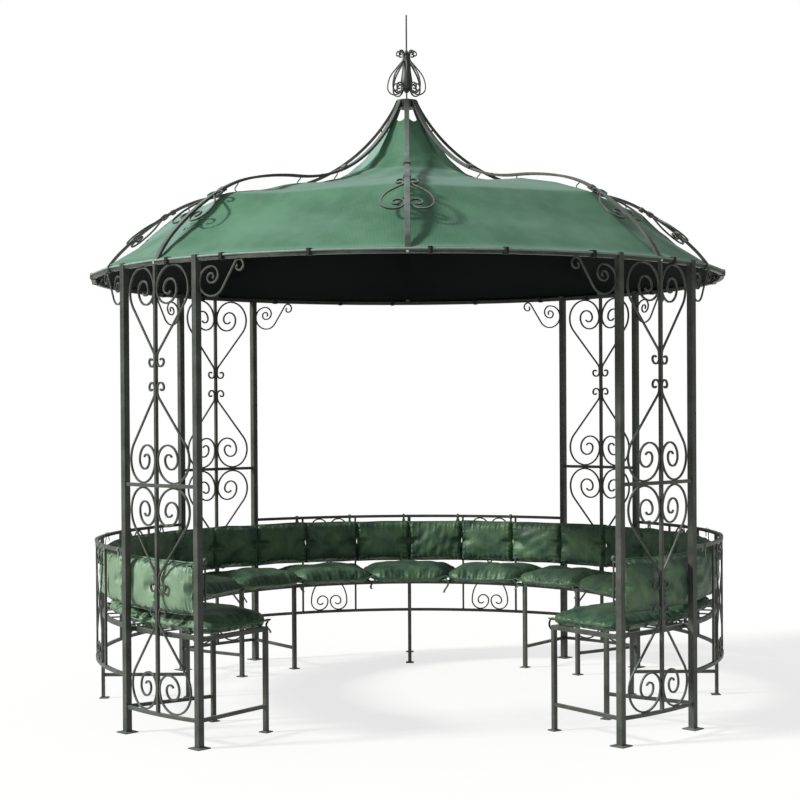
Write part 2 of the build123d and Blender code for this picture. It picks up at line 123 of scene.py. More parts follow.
room = bpy.data.worlds.new("white_room")
bpy.context.scene.world = room
room.use_nodes = True
tree = room.node_tree
tree.nodes.clear()
path = add(tree, "ShaderNodeLightPath")
seen = add(tree, "ShaderNodeMath", {"operation": "MAXIMUM"},
           _0=path.outputs["Is Camera Ray"], _1=path.outputs["Is Transmission Ray"])
power = add(tree, "ShaderNodeMapRange", Value=seen.outputs[0], To_Min=0.28, To_Max=1.0)
light = add(tree, "ShaderNodeBackground", Color=linear("ffffff"), Strength=power.outputs["Result"])
add(tree, "ShaderNodeOutputWorld", Surface=light.outputs[0])

lamp = bpy.data.objects.new("soft_lamp", bpy.data.lights.new("soft_lamp", "SUN"))
bpy.context.collection.objects.link(lamp)
lamp.data.energy = 3.1
lamp.data.angle = math.radians(9)
# It leans over from straight above and is then turned to the left.
lamp_lean, lamp_turn = math.radians(58.5), math.radians(-75)
lamp.matrix_world = Matrix.Rotation(lamp_turn, 4, "Z") @ Matrix.Rotation(lamp_lean, 4, "X")

# Ironwork. Square and flat mild steel bars, bent hot and welded, then painted grey green by hand.
# The paint gives a soft satin sheen and is brushed thin. Along the edges of the bars it is worn, and the pale
# edge colour is also a painted highlight.
iron, tree = new_material("painted_wrought_iron")
where = add(tree, "ShaderNodeTexCoord").outputs["Object"]
# Blotches of 90 mm from uneven paint, and 9 mm dimples from the hammer.
blotch = add(tree, "ShaderNodeTexNoise", Scale=11.0, Detail=4.0, Roughness=0.6, Vector=where)
dimple = add(tree, "ShaderNodeTexNoise", Scale=110.0, Detail=3.0, Roughness=0.55, Vector=where)
paint = add(tree, "ShaderNodeValToRGB", _0=blotch.outputs["Fac"])
paint.color_ramp.elements[0].position = 0.3
paint.color_ramp.elements[0].color = linear("3e413a")
paint.color_ramp.elements[1].position = 0.72
paint.color_ramp.elements[1].color = linear("62665c")
# Painted highlight and wear: the bars' edges, found from the bevel normal, take a pale colour in specks.
edge = add(tree, "ShaderNodeBevel", {"samples": 4}, Radius=0.003)
plain = add(tree, "ShaderNodeNewGeometry")
along = add(tree, "ShaderNodeVectorMath", {"operation": "DOT_PRODUCT"},
            _0=edge.outputs[0], _1=plain.outputs["Normal"])
worn_and_lit_edge = add(tree, "ShaderNodeMapRange", Value=along.outputs["Value"], From_Min=0.995, From_Max=0.80,
           To_Min=0.0, To_Max=0.75)
speck = add(tree, "ShaderNodeMath", {"operation": "MULTIPLY"},
            _0=worn_and_lit_edge.outputs["Result"], _1=dimple.outputs["Fac"])
coat = add(tree, "ShaderNodeMix", {"data_type": "RGBA"}, _0=speck.outputs[0],
           _6=paint.outputs["Color"], _7=linear("8f9187"))
# Painted reflection: wherever a face looks up, a pale blue grey is mixed in, in patches, for the white room
# reflected in the paint.
level = add(tree, "ShaderNodeSeparateXYZ", Vector=plain.outputs["Normal"])
up_facing_reflection = add(tree, "ShaderNodeMapRange", {"interpolation_type": "SMOOTHSTEP"}, Value=level.outputs["Z"],
              From_Min=0.30, From_Max=0.85, To_Min=0.0, To_Max=1.1)
patchy_reflection = add(tree, "ShaderNodeMath", {"operation": "MULTIPLY", "use_clamp": True},
             _0=up_facing_reflection.outputs["Result"], _1=blotch.outputs["Fac"])
reflected_coat = add(tree, "ShaderNodeMix", {"data_type": "RGBA"}, _0=patchy_reflection.outputs[0],
             _6=coat.outputs[2], _7=linear("aab6b0"))
rough = add(tree, "ShaderNodeMapRange", Value=dimple.outputs["Fac"], To_Min=0.32, To_Max=0.6)
relief = add(tree, "ShaderNodeBump", Strength=0.35, Distance=0.001,
             Height=dimple.outputs["Fac"], Normal=edge.outputs[0])
skin = add(tree, "ShaderNodeBsdfPrincipled", Base_Color=reflected_coat.outputs[2], Metallic=0.2,
           Roughness=rough.outputs["Result"], Normal=relief.outputs[0])
add(tree, "ShaderNodeOutputMaterial", Surface=skin.outputs[0])
for name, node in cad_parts.items():
    if "cushion" not in name and name != "canopy":
        for slot in node.material_slots:
            slot.material = iron

# Canopy. One round cover of coated polyester canvas, cut in eight gores and sewn under the ribs. It is
# stretched from a vent below the crown, over a cut fold, down to the eave ring, where its hem is tied.
fold_circle, hem_circle = 1.203, 1.604
canvas_line = np.array([
    (0.083, 2.994), (0.150, 2.877), (0.214, 2.784), (0.300, 2.706), (0.450, 2.640), (0.601, 2.605),
    (0.800, 2.585), (0.998, 2.556), (1.114, 2.525), (fold_circle, 2.494), (1.569, 2.174), (hem_circle, 2.157),
])
gore_count, gore_steps, run_steps = 8, 36, 96
gore_turn = 360.0 / gore_count
half_gore = gore_turn / 2


def quads(grid):
    """The four-cornered faces of a grid of point numbers, each going round from its first corner."""
    return np.stack([grid[:-1, :-1], grid[1:, :-1], grid[1:, 1:], grid[:-1, 1:]], -1).reshape(-1, 4)


def stepped(line, count):
    """A line of points again, in equal steps of its own length, and that length."""
    run = np.r_[0.0, np.cumsum(np.linalg.norm(np.diff(line, axis=0), axis=1))]
    return np.stack([np.interp(np.linspace(0, run[-1], count), run, c) for c in line.T], -1), run[-1]


def even_steps(line, count, finer=8, ease=7):
    """A line in equal steps with its corners eased: each finer point becomes the mean of its neighbours."""
    fine = stepped(line, finer * count)[0]
    eased = fine.copy()
    near = range(-ease, ease + 1)
    eased[ease:-ease] = sum(fine[ease + k:len(fine) - ease + k] for k in near) / len(near)
    return stepped(eased, count)


def plan(angle, radius, height):
    """Points from plan angles in degrees, measured from -Y towards +X, with radii and heights."""
    turn = np.radians(angle)
    return np.stack(np.broadcast_arrays(radius * np.sin(turn), -radius * np.cos(turn), height), -1)


profile, canvas_run = even_steps(canvas_line, run_steps)
# At each point of the cover: A is the plan angle in degrees, R and Z the radius and height of the line
# there, and S the length of cloth down to it from the vent.
angle = np.arange(gore_count * gore_steps) * 360.0 / (gore_count * gore_steps)
A, K = np.meshgrid(angle, np.arange(run_steps), indexing="ij")
R, Z = profile[K, 0], profile[K, 1]
S = canvas_run * K / (run_steps - 1)
off_middle = A % gore_turn - half_gore
from_seam = R * np.radians(half_gore - np.abs(off_middle))
# Between two seams the canvas runs nearly straight, which draws it in by the cosine ratio. On the lower
# slope that drawing in fades, so that the hem follows the round ring.
lower = np.clip((R - fold_circle) / (hem_circle - fold_circle), 0, 1)
drawn_in = 0.9 * (1 - lower * lower * (3 - 2 * lower))
ratio = 1 - drawn_in * (1 - np.cos(np.radians(half_gore)) / np.cos(np.radians(off_middle)))
# Small puckers beside the seams, shallow billows in each gore with a finer flutter, and a scallop between
# two ties. The canvas sinks away from each seam, which stands as a ridge under its rib, and dips between
# the ribs at the vent. Each is a depth times a wave or an exponential that fades over the length given.
sink_depth, pucker_depth, billow_depth, flutter_depth = 0.010, 0.0030, 0.0045, 0.003
scallop_depth, dip_depth = 0.0030, 0.037
eave_ties = 24
gore = A // gore_turn
inside = np.minimum(1, S / 0.30) * np.clip((canvas_run - S) / 0.25, 0, 1)
sink = sink_depth * (1 - np.exp(-from_seam / 0.08)) * inside
pucker = pucker_depth * np.exp(-from_seam / 0.05) * np.sin(S / 0.017 + 2.1 * gore)
pucker *= np.minimum(1, from_seam / 0.012)
billow = billow_depth * np.cos(np.radians(4 * off_middle)) * np.sin(S * 5.2 + 1.7 * gore + off_middle / 19)
flutter = flutter_depth * np.sin(S * 17 + off_middle / 4 + 2.3 * gore) * np.exp(-from_seam / 0.2)
billow = (billow + flutter) * (R > 0.25)
scallop = scallop_depth * np.exp((S - canvas_run) / 0.07) * np.cos(np.radians(eave_ties * A))
dip = dip_depth * np.exp(-S / 0.06) * np.cos(np.radians(4 * off_middle))
# The front left quarter hangs slacker behind its fold, and the front right one is a little tighter. Each
# is a hump round a radius and a plan angle.
slack = 0.026 * np.exp(-((R - 0.97) / 0.16) ** 2 - (((A + 180) % 360 - 135) / 25) ** 2)
slack -= 0.012 * np.exp(-((R - 0.80) / 0.12) ** 2 - ((A - 45) / 20) ** 2)
cover = plan(A, R * ratio + billow + scallop + 0.5 * dip - 0.6 * sink,
             Z + pucker + 0.6 * billow - 0.88 * dip - 0.75 * sink - slack)
grid = np.pad(np.arange(A.size).reshape(A.shape), ((0, 1), (0, 0)), mode="wrap")

canvas, tree = new_material("coated_polyester_canvas")
where = add(tree, "ShaderNodeTexCoord").outputs["Object"]
cloth_map = add(tree, "ShaderNodeUVMap", {"uv_map": "canvas"})
split = add(tree, "ShaderNodeSeparateXYZ", Vector=cloth_map.outputs["UV"])
# Sun and rain have faded it in clouds of about 300 mm. The canvas is a plain weave of 0.5 mm yarn,
# drawn here as 6 mm ribs so that it still shows from a few metres away.
cloud = add(tree, "ShaderNodeTexNoise", Scale=3.2, Detail=5.0, Roughness=0.55, Vector=where)
dye = add(tree, "ShaderNodeValToRGB", _0=cloud.outputs["Fac"])
dye.color_ramp.elements[0].position = 0.32
dye.color_ramp.elements[0].color = linear("4a7c5f")
dye.color_ramp.elements[1].position = 0.70
dye.color_ramp.elements[1].color = linear("659a78")
warp = add(tree, "ShaderNodeTexWave", {"bands_direction": "X"}, Scale=52.0, Distortion=1.2,
           Detail=2.0, Detail_Scale=3.0, Vector=cloth_map.outputs["UV"])
weft = add(tree, "ShaderNodeTexWave", {"bands_direction": "Y"}, Scale=52.0, Distortion=1.2,
           Detail=2.0, Detail_Scale=3.0, Vector=cloth_map.outputs["UV"])
weave = add(tree, "ShaderNodeMath", {"operation": "ADD"}, _0=warp.outputs["Fac"], _1=weft.outputs["Fac"])
# The flat-felled seam is 26 mm wide, with a row of stitches along each edge. It is painted darker, partly for
# the seam and partly as painted shade under its rib.
near_seam = add(tree, "ShaderNodeMapRange", {"interpolation_type": "SMOOTHSTEP"}, Value=split.outputs["X"],
                From_Min=0.011, From_Max=0.015, To_Min=1.0, To_Max=0.0)
seam_shade_share = add(tree, "ShaderNodeMath", {"operation": "MULTIPLY"}, _0=near_seam.outputs["Result"], _1=0.45)
seam_shaded = add(tree, "ShaderNodeMix", {"data_type": "RGBA"}, _0=seam_shade_share.outputs[0],
              _6=dye.outputs["Color"], _7=linear("2f5541"))
streak = add(tree, "ShaderNodeTexNoise", Scale=14.0, Detail=4.0, Vector=add(
    tree, "ShaderNodeMapping", Vector=where, Scale=(1.0, 1.0, 0.12)).outputs["Vector"])
dusty = add(tree, "ShaderNodeMapRange", Value=streak.outputs["Fac"], From_Min=0.45, From_Max=0.85,
            To_Min=0.0, To_Max=0.30)
dull = add(tree, "ShaderNodeMix", {"data_type": "RGBA"}, _0=dusty.outputs["Result"],
           _6=seam_shaded.outputs[2], _7=linear("86a894"))
# Painted light: the flat shoulder is painted paler for the white room reflected in it, and the gores that
# face the lamp on the left are painted paler as their lit side.
facing = add(tree, "ShaderNodeSeparateXYZ", Vector=add(tree, "ShaderNodeNewGeometry").outputs["Normal"])
shoulder_reflection = add(tree, "ShaderNodeMapRange", {"interpolation_type": "SMOOTHSTEP"}, Value=facing.outputs["Z"],
               From_Min=0.80, From_Max=0.97, To_Min=0.0, To_Max=0.40)
lamp_side_light = add(tree, "ShaderNodeMapRange", {"interpolation_type": "SMOOTHSTEP"}, Value=facing.outputs["X"],
            From_Min=-0.30, From_Max=-0.75, To_Min=0.0, To_Max=0.62)
painted_light = add(tree, "ShaderNodeMath", {"operation": "MAXIMUM"},
             _0=shoulder_reflection.outputs["Result"], _1=lamp_side_light.outputs["Result"])
lit_colour = add(tree, "ShaderNodeMix", {"data_type": "RGBA"}, _0=painted_light.outputs[0],
           _6=dull.outputs[2], _7=linear("a9c8c0"))
height = add(tree, "ShaderNodeMath", {"operation": "MULTIPLY_ADD"},
             _0=near_seam.outputs["Result"], _1=3.0, _2=weave.outputs[0])
relief = add(tree, "ShaderNodeBump", Strength=0.28, Distance=0.002, Height=height.outputs[0])
skin = add(tree, "ShaderNodeBsdfPrincipled", Base_Color=lit_colour.outputs[2], Roughness=0.72,
           Normal=relief.outputs[0], Sheen_Weight=0.18, Sheen_Roughness=0.4, Sheen_Tint=linear("d2e4e4"))
add(tree, "ShaderNodeOutputMaterial", Surface=skin.outputs[0])

# Its underside is painted near black, as painted shade for the shade under the cover.
underside_shade_paint, tree = new_material("canvas_underside_painted_shade")
where = add(tree, "ShaderNodeTexCoord").outputs["Object"]
cloud = add(tree, "ShaderNodeTexNoise", Scale=5.0, Detail=3.0, Vector=where)
shade = add(tree, "ShaderNodeMix", {"data_type": "RGBA"}, _0=cloud.outputs["Fac"],
            _6=linear("0c1512"), _7=linear("121d18"))
fine = add(tree, "ShaderNodeTexNoise", Scale=240.0, Vector=where)
relief = add(tree, "ShaderNodeBump", Strength=0.2, Distance=0.001, Height=fine.outputs["Fac"])
skin = add(tree, "ShaderNodeBsdfPrincipled", Base_Color=shade.outputs[2], Roughness=0.8,
           Normal=relief.outputs[0], Specular_IOR_Level=0.12)
add(tree, "ShaderNodeOutputMaterial", Surface=skin.outputs[0])

canopy = put("canopy_canvas", cover, quads(grid.T), canvas)
canopy.data.materials.append(underside_shade_paint)
uv = canopy.data.uv_layers.new(name="canvas")
corner = np.empty(len(canopy.data.loops), np.int64)
canopy.data.loops.foreach_get("vertex_index", corner)
uv.data.foreach_set("uv", np.stack([from_seam.ravel(), S.ravel()], -1)[corner].ravel())
thick = canopy.modifiers.new("canvas_thickness", "SOLIDIFY")
thick.thickness = 0.002
thick.offset = -1.0
thick.material_offset = 1
thick.material_offset_rim = 0
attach(canopy, "root")
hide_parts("canopy")


# Hem rope and ties. The lower edge is turned over a 10 mm cord that lies on the eave ring, and short
# black webbing ties strap it to the ring, every 15 degrees and beside each rib.
def tube(path, radius, sides, closed=False):
    """A round tube along a path: a circle carried square to the line, with flat ends if it is open."""
    if closed:
        way = np.roll(path, -1, 0) - np.roll(path, 1, 0)
    else:
        way = np.gradient(path, axis=0)
    way /= np.linalg.norm(way, axis=1, keepdims=True)
    # The circle is set out from the upright, or from a level line where the path itself is upright.
    upright, level = [[0.0, 0.0, 1.0]], [[0.31, 0.95, 0.0]]
    lead = np.where(np.abs(way[:, 2:]) > 0.9, level, upright)
    side = np.cross(lead, way)
    side /= np.linalg.norm(side, axis=1, keepdims=True)
    other = np.cross(way, side)
    turn = np.arange(sides) * 2 * np.pi / sides
    ring = np.cos(turn)[:, None] * side[:, None] + np.sin(turn)[:, None] * other[:, None]
    points = path[:, None] + np.reshape(radius, (-1, 1, 1)) * ring
    number = np.arange(points[..., 0].size).reshape(points.shape[:2])
    number = np.pad(number, ((0, int(closed)), (0, 1)), mode="wrap")
    faces = quads(number.T).tolist()
    if not closed:
        faces += [number[0, :-1][::-1].tolist(), number[-1, :-1].tolist()]
    return points.reshape(-1, 3), faces


def joined(parts):
    """Several lists of points and faces as one."""
    points, faces, start = [], [], 0
    for some_points, some_faces in parts:
        points.append(some_points)
        faces += [[start + k for k in face] for face in some_faces]
        start += len(some_points)
    return np.concatenate(points), faces


def stood(points, angle):
    """Points given across, outward and up, set up at a plan angle."""
    turn = math.radians(angle)
    x, y, z = points.T
    return np.stack([-x * math.cos(turn) + y * math.sin(turn),
                     -x * math.sin(turn) - y * math.cos(turn), z], -1)


cord_circle, cord_height, cord_radius, cord_sides = 1.6085, 2.1555, 0.0050, 8
cord_path = plan(angle, cord_circle + scallop_depth * np.cos(np.radians(eave_ties * angle)), cord_height)
# The binding round the cord is braided polyester, faded nearly white in patches.
binding, tree = new_material("faded_polyester_binding")
where = add(tree, "ShaderNodeTexCoord").outputs["Object"]
fade = add(tree, "ShaderNodeTexNoise", Scale=40.0, Detail=3.0, Vector=where)
tone = add(tree, "ShaderNodeMix", {"data_type": "RGBA"}, _0=fade.outputs["Fac"],
           _6=linear("7fa28f"), _7=linear("b4c8ba"))
braid = add(tree, "ShaderNodeTexNoise", Scale=300.0, Vector=where)
relief = add(tree, "ShaderNodeBump", Strength=0.4, Distance=0.001, Height=braid.outputs["Fac"])
skin = add(tree, "ShaderNodeBsdfPrincipled", Base_Color=tone.outputs[2], Roughness=0.7,
           Normal=relief.outputs[0])
add(tree, "ShaderNodeOutputMaterial", Surface=skin.outputs[0])
hem = put("canopy_hem_cord", *tube(cord_path, cord_radius, cord_sides, closed=True), binding)
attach(hem, "root")

# The ties are black polyester webbing with ribs of 2 mm, which keep it dull.
webbing, tree = new_material("black_webbing")
where = add(tree, "ShaderNodeTexCoord").outputs["Object"]
rib = add(tree, "ShaderNodeTexWave", {"bands_direction": "Z"}, Scale=160.0, Vector=where)
tone = add(tree, "ShaderNodeMix", {"data_type": "RGBA"}, _0=rib.outputs["Fac"],
           _6=linear("141614"), _7=linear("262a27"))
relief = add(tree, "ShaderNodeBump", Strength=0.4, Distance=0.001, Height=rib.outputs["Fac"])
skin = add(tree, "ShaderNodeBsdfPrincipled", Base_Color=tone.outputs[2], Roughness=0.75,
           Normal=relief.outputs[0])
add(tree, "ShaderNodeOutputMaterial", Surface=skin.outputs[0])


def strap(inner, outer, low, high, width, thick, count=28):
    """A flat band of webbing round a bar, from an inner to an outer radius and a low to a high place.

    Its line is a rounded oblong in the upright plane: a cosine and a sine, each to the power 0.35 with its
    own sign kept. It is given a width across the bar and a thickness outwards.
    """
    turn = np.arange(count) * 2 * np.pi / count
    wave = np.stack([np.cos(turn), np.sin(turn)], -1)
    form = np.sign(wave) * np.abs(wave) ** 0.35
    middle = np.array([(inner + outer) / 2, (low + high) / 2])
    half = np.array([(outer - inner) / 2, (high - low) / 2])
    loops = [(-width / 2, 0.0), (width / 2, 0.0), (width / 2, thick), (-width / 2, thick)]
    ring = np.stack([np.column_stack([np.full(count, x), middle + form * (half + t)]) for x, t in loops], 1)
    number = np.pad(np.arange(count * 4).reshape(count, 4), ((0, 1), (0, 1)), mode="wrap")
    return ring.reshape(-1, 3), quads(number.T).tolist()


tie_inner, tie_outer, tie_low, tie_high = 1.5865, 1.6150, 2.1355, 2.1640
tie_width, tie_thick, beside_rib = 0.020, 0.002, 3.4
tie_turn = 360.0 / eave_ties
tie_angles = [tie_turn * n for n in range(eave_ties) if tie_turn * n % gore_turn]
tie_angles += [gore_turn * n + beside_rib for n in range(gore_count)]
points, faces = strap(tie_inner, tie_outer, tie_low, tie_high, tie_width, tie_thick)
ties = put("canopy_ties", *joined([(stood(points, at), faces) for at in tie_angles]), webbing)
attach(ties, "root")

# Collars and hooks of the ribs. Two forged collars are driven on each rib, one at the top of its heart
# and one above it. S-hooks of 5.6 mm wire hang from the rib and hold the seam of the canvas.
def chamfered(half, cut):
    """A block round the origin from its half sizes, with every edge cut: each face's corners are drawn in."""
    corner = np.stack(np.meshgrid(*[(-1, 1)] * 3, indexing="ij"), -1).reshape(-1, 3)
    points = np.concatenate([corner * (half - cut * (np.arange(3) != axis)) for axis in range(3)])
    x_side, y_side, z_side = np.arange(24).reshape(3, 2, 2, 2)
    faces = np.arange(24).reshape(3, 8).T.tolist()
    for u in (0, 1):
        for flat in (x_side[u], y_side[:, u], z_side[:, :, u]):
            faces.append([*flat[0], *flat[1, ::-1]])
        for v in (0, 1):
            faces.append([*x_side[u, v], *y_side[u, v, ::-1]])
            faces.append([*y_side[:, u, v], *z_side[::-1, u, v]])
            faces.append([*z_side[u, :, v], *x_side[u, ::-1, v]])
    outwards = []
    for face in faces:
        at = points[face]
        out = np.cross(at[1] - at[0], at[2] - at[1]) @ at.mean(0)
        outwards.append(face if out > 0 else face[::-1])
    return points, outwards


collar_half, collar_cut = np.array([0.018, 0.013, 0.0105]), 0.003
# The radius, height and slope in degrees of the rib at the heart's collar and at the upper one.
collar_places = ((1.212, 2.512, -33.0), (0.442, 2.694, -34.0))
points, faces = chamfered(collar_half, collar_cut)
collars = []
for radius, height, slope in collar_places:
    turn = math.radians(slope)
    out = radius + points[:, 1] * math.cos(turn) - points[:, 2] * math.sin(turn)
    up = height + points[:, 1] * math.sin(turn) + points[:, 2] * math.cos(turn)
    tilted = np.column_stack([points[:, 0], out, up])
    collars += [(stood(tilted, gore_turn * n), faces) for n in range(gore_count)]
collar = put("rib_collars", *joined(collars), iron, smooth=False)
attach(collar, "root")

# The radius of each hook, the rib's underside there and the canvas below it.
hook_places = ((1.130, 2.553, 2.516), (0.742, 2.616, 2.584), (0.500, 2.663, 2.620), (0.130, 2.945, 2.905))
hook_bend, hook_reach, wire_radius, wire_sides = 0.012, 0.006, 0.0028, 6
hook_steps = np.linspace(0, 1, 17)
hooks = []
for radius, top, low in hook_places:
    bend = hook_bend * np.sin(hook_steps * 2 * np.pi)
    rise = low - hook_reach + (top - low + 2 * hook_reach) * hook_steps
    wire = np.column_stack([bend, np.full_like(bend, radius), rise])
    points, faces = tube(wire, wire_radius, wire_sides)
    hooks += [(stood(points, gore_turn * n), faces) for n in range(gore_count)]
hook = put("canopy_hooks", *joined(hooks), iron)
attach(hook, "root")

# Bolts. Each rib is bolted to the eave ring with a zinc-plated dome bolt, left bare: a pale metal with a
# soft shine and faint clouds in its plating.
zinc, tree = new_material("zinc_plated_steel")
cloud = add(tree, "ShaderNodeTexNoise", Scale=320.0, Vector=add(
    tree, "ShaderNodeTexCoord").outputs["Object"])
tone = add(tree, "ShaderNodeMix", {"data_type": "RGBA"}, _0=cloud.outputs["Fac"],
           _6=linear("a9aca6"), _7=linear("d6d8d2"))
skin = add(tree, "ShaderNodeBsdfPrincipled", Base_Color=tone.outputs[2], Metallic=1.0, Roughness=0.36)
add(tree, "ShaderNodeOutputMaterial", Surface=skin.outputs[0])


def dome(radius, tall, sides=12, rings=5):
    """A bolt head that points outward: rings that shrink by a quarter circle from its rim to its top."""
    turn = np.arange(sides) * 2 * np.pi / sides
    rise = np.radians(np.linspace(0, 86, rings))
    ring = np.stack([np.cos(rise)[:, None] * np.cos(turn) * radius,
                     np.broadcast_to(np.sin(rise)[:, None] * tall, (rings, sides)),
                     np.cos(rise)[:, None] * np.sin(turn) * radius], -1)
    number = np.pad(np.arange(rings * sides).reshape(rings, sides), ((0, 0), (0, 1)), mode="wrap")
    faces = quads(number).tolist() + [number[0, :-1].tolist(), number[-1, :-1][::-1].tolist()]
    return ring.reshape(-1, 3), faces


bolt_radius, bolt_rise, bolt_place = 0.0075, 0.0055, (0.0, 1.6075, 2.1465)
points, faces = dome(bolt_radius, bolt_rise)
bolts = [(stood(points + bolt_place, gore_turn * n), faces) for n in range(gore_count)]
bolt = put("rib_bolts", *joined(bolts), zinc)
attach(bolt, "root")

# Seat cushions. Thirteen loose pads of satin-finished polyester, each two layers sewn round the edge with
# a piping and filled with fibre. They lie side by side on the slats, with their corners standing up.
satin, tree = new_material("bottle_green_polyester_satin")
where = add(tree, "ShaderNodeTexCoord").outputs["Object"]
# Clouds of 120 mm where the pile of the cloth lies differently, and creases of 40 mm. The weave of
# 0.3 mm yarn is drawn as a fine 3 mm tooth.
cloud = add(tree, "ShaderNodeTexNoise", Scale=8.0, Detail=5.0, Roughness=0.6, Vector=where)
dye = add(tree, "ShaderNodeValToRGB", _0=cloud.outputs["Fac"])
dye.color_ramp.elements[0].position = 0.34
dye.color_ramp.elements[0].color = linear("3b5c4f")
dye.color_ramp.elements[1].position = 0.70
dye.color_ramp.elements[1].color = linear("70946c")
crease = add(tree, "ShaderNodeTexNoise", Scale=26.0, Detail=3.0, Roughness=0.45, Vector=where)
tooth = add(tree, "ShaderNodeTexNoise", Scale=330.0, Detail=1.0, Vector=where)
height = add(tree, "ShaderNodeMath", {"operation": "MULTIPLY_ADD"},
             _0=crease.outputs["Fac"], _1=3.0, _2=tooth.outputs["Fac"])
relief = add(tree, "ShaderNodeBump", Strength=0.45, Distance=0.002, Height=height.outputs[0])
gloss = add(tree, "ShaderNodeMapRange", Value=crease.outputs["Fac"], To_Min=0.36, To_Max=0.54)
# Painted shade: the seat pads, below 0.56 to 0.63 m, are painted darker than the backs.
split = add(tree, "ShaderNodeSeparateXYZ", Vector=where)
seat_shade = add(tree, "ShaderNodeMapRange", {"interpolation_type": "SMOOTHSTEP"}, Value=split.outputs["Z"],
             From_Min=0.56, From_Max=0.63, To_Min=0.42, To_Max=0.0)
seat_shaded = add(tree, "ShaderNodeMix", {"data_type": "RGBA"}, _0=seat_shade.outputs["Result"],
           _6=dye.outputs["Color"], _7=linear("1d3a2e"))
# Painted light: on the left, the outward faces of the backs, which face the lamp, are painted paler.
facing = add(tree, "ShaderNodeSeparateXYZ", Vector=add(tree, "ShaderNodeNewGeometry").outputs["Normal"])
outwards = add(tree, "ShaderNodeMapRange", {"interpolation_type": "SMOOTHSTEP"}, Value=facing.outputs["X"],
               From_Min=-0.20, From_Max=-0.65, To_Min=0.0, To_Max=0.50)
leftwards = add(tree, "ShaderNodeMapRange", {"interpolation_type": "SMOOTHSTEP"}, Value=split.outputs["X"],
                From_Min=-0.50, From_Max=-0.90, To_Min=0.0, To_Max=1.0)
painted_light = add(tree, "ShaderNodeMath", {"operation": "MULTIPLY"},
             _0=outwards.outputs["Result"], _1=leftwards.outputs["Result"])
lit_colour = add(tree, "ShaderNodeMix", {"data_type": "RGBA"}, _0=painted_light.outputs[0],
           _6=seat_shaded.outputs[2], _7=linear("a9c8a6"))
skin = add(tree, "ShaderNodeBsdfPrincipled", Base_Color=lit_colour.outputs[2],
           Roughness=gloss.outputs["Result"], Normal=relief.outputs[0],
           Specular_IOR_Level=0.9, Specular_Tint=linear("dcecd0"))
add(tree, "ShaderNodeOutputMaterial", Surface=skin.outputs[0])


def bag(near, far, deep, thick, across, along, edge):
    """Two layers of cloth sewn along their rim, on a plan that widens from near to far.

    Each layer is a grid, closer towards the rim: a parameter t becomes 1.25 t - 0.25 t cubed. It rises from
    the rim in a quarter round as wide as edge.
    """
    even = (np.linspace(-1, 1, count + 1) for count in (across, along))
    U, V = np.meshgrid(*(1.25 * t - 0.25 * t ** 3 for t in even), indexing="ij")
    top = np.arange(U.size).reshape(U.shape)
    under = top.copy()
    under[1:-1, 1:-1] = U.size + np.arange((across - 1) * (along - 1)).reshape(across - 1, along - 1)
    half = near + (far - near) * (V + 1) / 2
    inwards = [1 - np.clip(gap / edge, 0, 1) for gap in ((1 - np.abs(U)) * half, (1 - np.abs(V)) * deep / 2)]
    rise = np.sqrt(np.clip(1 - inwards[0] ** 2 - inwards[1] ** 2, 0, 1))
    layer = np.stack([U * half, V * deep / 2, thick / 2 * rise], -1)
    points = np.concatenate([layer.reshape(-1, 3), (layer[1:-1, 1:-1] * [1, 1, -1]).reshape(-1, 3)])
    place = np.stack([U, V, rise], -1)
    place = np.concatenate([place.reshape(-1, 3), place[1:-1, 1:-1].reshape(-1, 3)])
    rim = np.concatenate([top[:-1, 0], top[-1, :-1], top[:0:-1, -1], top[0, :0:-1]])
    return points, np.concatenate([quads(top), quads(under)[:, ::-1]]), rim, place


def filled(points, faces, held, pressure, frames, cap):
    """The bag blown up by Blender's cloth from inside, without gravity. No point moves more than cap."""
    mesh = bpy.data.meshes.new("bag")
    mesh.from_pydata(points.tolist(), [], faces.tolist())
    cloth_bag = bpy.data.objects.new("bag", mesh)
    bpy.context.collection.objects.link(cloth_bag)
    group = cloth_bag.vertex_groups.new(name="held")
    group.add(np.flatnonzero(held).tolist(), 1.0, "REPLACE")
    cloth = cloth_bag.modifiers.new("cloth", "CLOTH")
    rule = cloth.settings
    rule.vertex_group_mass = "held"
    rule.quality = 6
    rule.mass = 0.15
    rule.tension_stiffness = rule.compression_stiffness = 20
    rule.bending_stiffness = 0.4
    rule.air_damping = 3
    rule.use_pressure = True
    rule.uniform_pressure_force = pressure
    rule.shrink_min = -0.05
    rule.effector_weights.gravity = 0
    cloth.point_cache.frame_start, cloth.point_cache.frame_end = 1, frames
    for step in range(1, frames + 1):
        bpy.context.scene.frame_set(step)
    blown = cloth_bag.evaluated_get(bpy.context.evaluated_depsgraph_get())
    after = np.empty(points.size)
    blown.data.vertices.foreach_get("co", after)
    bpy.data.objects.remove(cloth_bag)
    bpy.data.meshes.remove(mesh)
    moved = after.reshape(-1, 3) - points
    far = np.linalg.norm(moved, axis=1, keepdims=True)
    return points + moved * np.minimum(1, cap / np.maximum(far, 1e-9))


def ripple(points, seed, size, depth):
    """Soft unevenness over a plan, from a seeded draw.

    It is the mean of six crossing sine waves of about the given size, times the depth.
    """
    draw = np.random.default_rng(seed)
    waves = draw.normal(size=(6, 2)) * 2 * np.pi / size
    return depth / 6 * np.sin(points[:, :2] @ waves.T + draw.uniform(0, 2 * np.pi, 6)).sum(1)


def from_rims(place, half):
    """How far in each point lies from the sides and from the ends of a flat bag with these half sizes."""
    return ((1 - np.abs(place[:, :2])) * half).T


